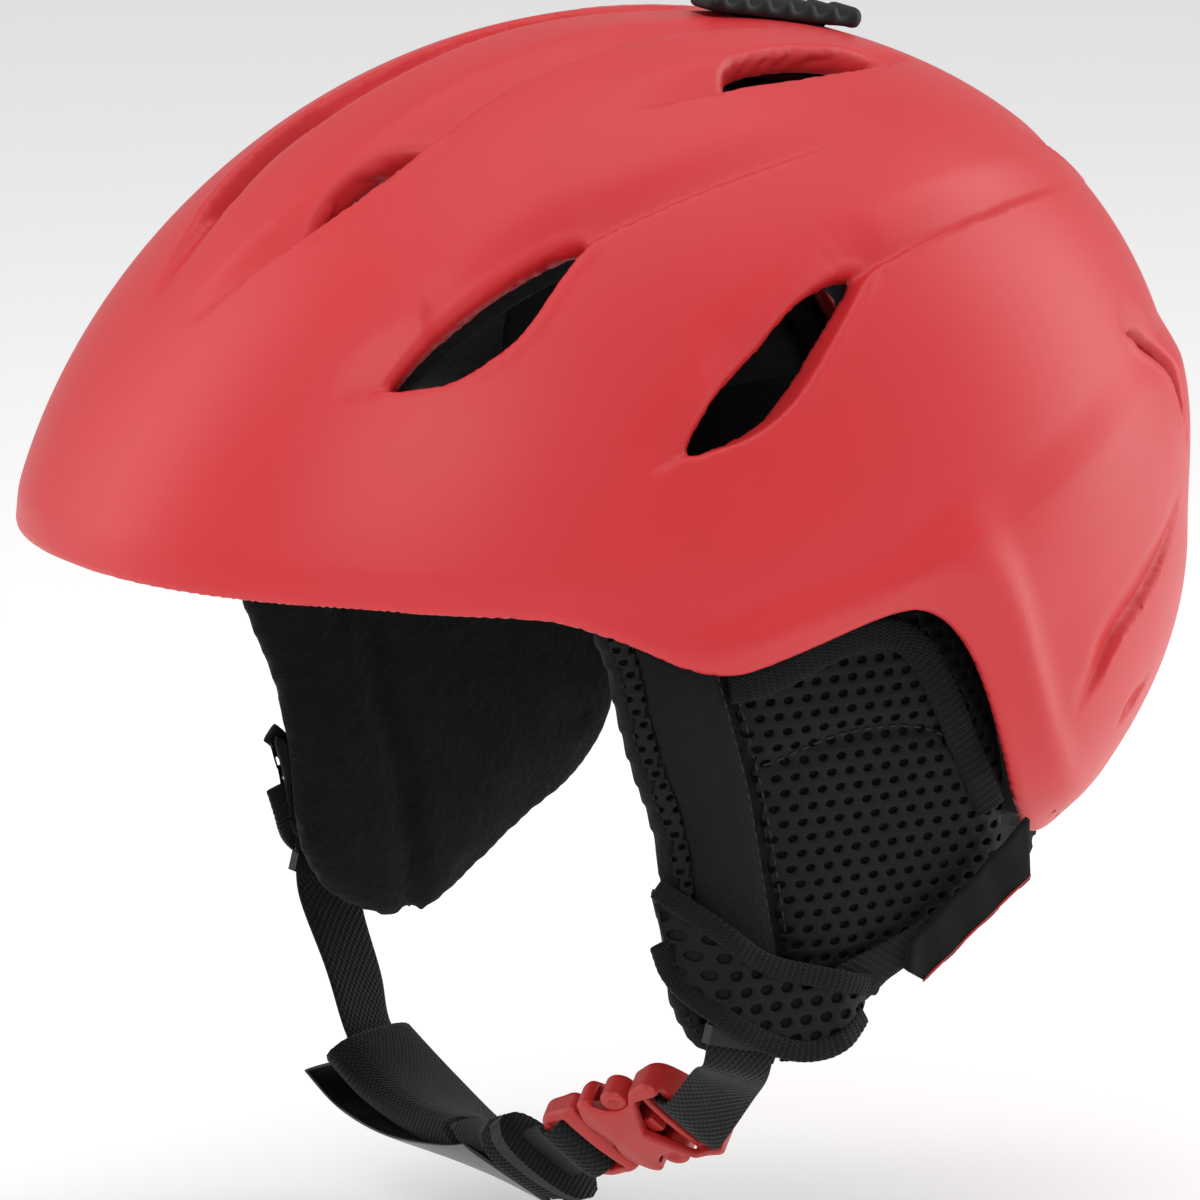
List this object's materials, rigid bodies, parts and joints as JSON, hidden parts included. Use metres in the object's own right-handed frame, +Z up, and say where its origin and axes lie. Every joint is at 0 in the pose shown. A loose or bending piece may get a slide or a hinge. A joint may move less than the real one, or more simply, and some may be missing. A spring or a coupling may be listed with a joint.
{
  "type": "ski helmet",
  "caption": "Child's ski helmet with a smooth vented shell, foam liner, crown vent slider, soft ear pads, nape fit dial and a buckled chin strap with a chin pad.",
  "frame": {"origin": "on the centre plane, at mid length, level with the front lower edge of the brow", "axes": "+X is the wearer's left, -Y the front, +Z up"},
  "size_m": [0.2018, 0.257, 0.2626],
  "materials": {
    "shell": "satin matte moulded shell",
    "foam": "black expanded bead foam",
    "plastic": "fine textured black plastic",
    "rubber": "soft ribbed thumb grip",
    "mesh_plastic": "perforated vent mesh",
    "fleece": "brushed fleece over foam",
    "spacer_mesh": "spacer mesh with oval holes",
    "binding": "ribbed edge tape",
    "webbing": "woven webbing",
    "twill": "plain twill",
    "knit": "ribbed knit over foam",
    "buckle": "satin moulded buckle",
    "nylon": "natural nylon",
    "steel": "plated steel"
  },
  "bodies": {
    "helmet": {"outer_shell": "shell", "foam_liner": "foam", "slider_frame": "plastic", "vent_mesh": "mesh_plastic", "brow_pad": "fleece", "crown_pad": "fleece", "side_pads": "fleece", "hook_tabs": "plastic", "strap_anchors": "plastic", "ear_mount_left": "plastic", "ear_mount_right": "plastic", "fit_hanger": "plastic", "goggle_clip_base": "plastic", "goggle_snap_stud": "steel"},
    "vent_control": {"vent_slider": "rubber", "vent_shutter": "plastic"},
    "fit_cradle": {"fit_yoke": "plastic", "dial_housing": "plastic", "housing_screws": "steel", "nape_pad": "fleece"},
    "fit_dial": {"dial_knob": "plastic", "dial_pinion": "nylon"},
    "band_left": {"fit_band_left": "plastic"},
    "band_right": {"fit_band_right": "plastic"},
    "goggle_clip": {"goggle_strap": "webbing", "goggle_snap_cap": "steel"},
    "ear_left": {"ear_pad_left": "fleece", "ear_mesh_left": "spacer_mesh", "ear_binding_left": "binding", "strap_pocket_left": "spacer_mesh", "rear_web_left": "webbing", "twill_sleeve_left": "twill", "upper_web_left": "webbing", "strap_divider_left": "plastic"},
    "ear_right": {"ear_pad_right": "fleece", "ear_mesh_right": "spacer_mesh", "ear_binding_right": "binding", "strap_pocket_right": "spacer_mesh", "rear_web_right": "webbing", "twill_sleeve_right": "twill", "upper_web_right": "webbing", "strap_divider_right": "plastic"},
    "keeper_left": {"strap_keeper_left": "plastic"},
    "keeper_right": {"strap_keeper_right": "plastic"},
    "chin_left": {"chin_web_left": "webbing", "buckle_socket": "buckle"},
    "chin_right": {"chin_web_right": "webbing"},
    "chin_release": {"chin_pad": "knit", "chin_pad_flap": "twill", "plug_web": "webbing", "buckle_plug": "buckle"},
    "prong_upper": {"buckle_prong_upper": "buckle"},
    "prong_lower": {"buckle_prong_lower": "buckle"}
  },
  "joints": [
    {"name": "vent_slide", "type": "slide", "parent": "helmet", "child": "vent_control", "axis": [0, 0.9823, -0.1874], "range_m": [-0.006, 0.006]},
    {"name": "cradle_height", "type": "slide", "parent": "helmet", "child": "fit_cradle", "axis": [0, 0, 1], "range_m": [-0.005, 0.005]},
    {"name": "fit_dial_turn", "type": "hinge", "parent": "fit_cradle", "child": "fit_dial", "pos_m": [0, 0.09, -0.076], "axis": [0, 1, 0], "range_deg": [-86, 86]},
    {"name": "band_left_arc", "type": "hinge", "parent": "fit_cradle", "child": "band_left", "pos_m": [0, 0.018, -0.07], "axis": [0, 0, 1], "range_deg": [-7, 7]},
    {"name": "band_right_arc", "type": "hinge", "parent": "fit_cradle", "child": "band_right", "pos_m": [0, 0.018, -0.082], "axis": [0, 0, 1], "range_deg": [-7, 7]},
    {"name": "goggle_clip_lift", "type": "hinge", "parent": "helmet", "child": "goggle_clip", "pos_m": [0, 0.1274, 0.006], "axis": [1, 0, 0], "range_deg": [0, 110]},
    {"name": "ear_left_sway", "type": "hinge", "parent": "helmet", "child": "ear_left", "pos_m": [0.087, 0, -0.012], "axis": [0, 1, 0], "range_deg": [-2.5, 2.5]},
    {"name": "ear_right_sway", "type": "hinge", "parent": "helmet", "child": "ear_right", "pos_m": [-0.087, 0, -0.012], "axis": [0, 1, 0], "range_deg": [-2.5, 2.5]},
    {"name": "keeper_left_flex", "type": "hinge", "parent": "ear_left", "child": "keeper_left", "pos_m": [0.087, -0.017, -0.099], "axis": [0, 1, 0], "range_deg": [-2.5, 2.5]},
    {"name": "keeper_right_flex", "type": "hinge", "parent": "ear_right", "child": "keeper_right", "pos_m": [-0.087, -0.017, -0.099], "axis": [0, 1, 0], "range_deg": [-2.5, 2.5]},
    {"name": "chin_left_swing", "type": "hinge", "parent": "keeper_left", "child": "chin_left", "pos_m": [0.087, -0.017, -0.099], "axis": [1, 0, 0], "range_deg": [-10, 8]},
    {"name": "chin_right_swing", "type": "hinge", "parent": "keeper_right", "child": "chin_right", "pos_m": [-0.087, -0.017, -0.099], "axis": [1, 0, 0], "range_deg": [-10, 8]},
    {"name": "buckle_release", "type": "slide", "parent": "chin_right", "child": "chin_release", "axis": [-0.8974, -0.2573, -0.3584], "range_m": [0, 0.018], "deforming": ["buckle_prong_upper", "buckle_prong_lower"]},
    {"name": "prong_upper_squeeze", "type": "hinge", "parent": "chin_release", "child": "prong_upper", "pos_m": [0.0325, -0.01136, -0.13037], "axis": [0.4376, -0.6229, -0.6485], "range_deg": [0, 7]},
    {"name": "prong_lower_squeeze", "type": "hinge", "parent": "chin_release", "child": "prong_lower", "pos_m": [0.03179, -0.02066, -0.12191], "axis": [-0.4376, 0.6229, 0.6485], "range_deg": [0, 7]}
  ],
  "couplings": [
    {"joint": "band_left_arc", "follows": "fit_dial_turn", "ratio": -0.07364},
    {"joint": "band_right_arc", "follows": "fit_dial_turn", "ratio": 0.07364},
    {"joint": "ear_right_sway", "follows": "ear_left_sway", "ratio": 1},
    {"joint": "keeper_left_flex", "follows": "ear_left_sway", "ratio": -1},
    {"joint": "keeper_right_flex", "follows": "ear_left_sway", "ratio": -1},
    {"joint": "chin_right_swing", "follows": "chin_left_swing", "ratio": 1},
    {"joint": "prong_lower_squeeze", "follows": "prong_upper_squeeze", "ratio": 1}
  ]
}
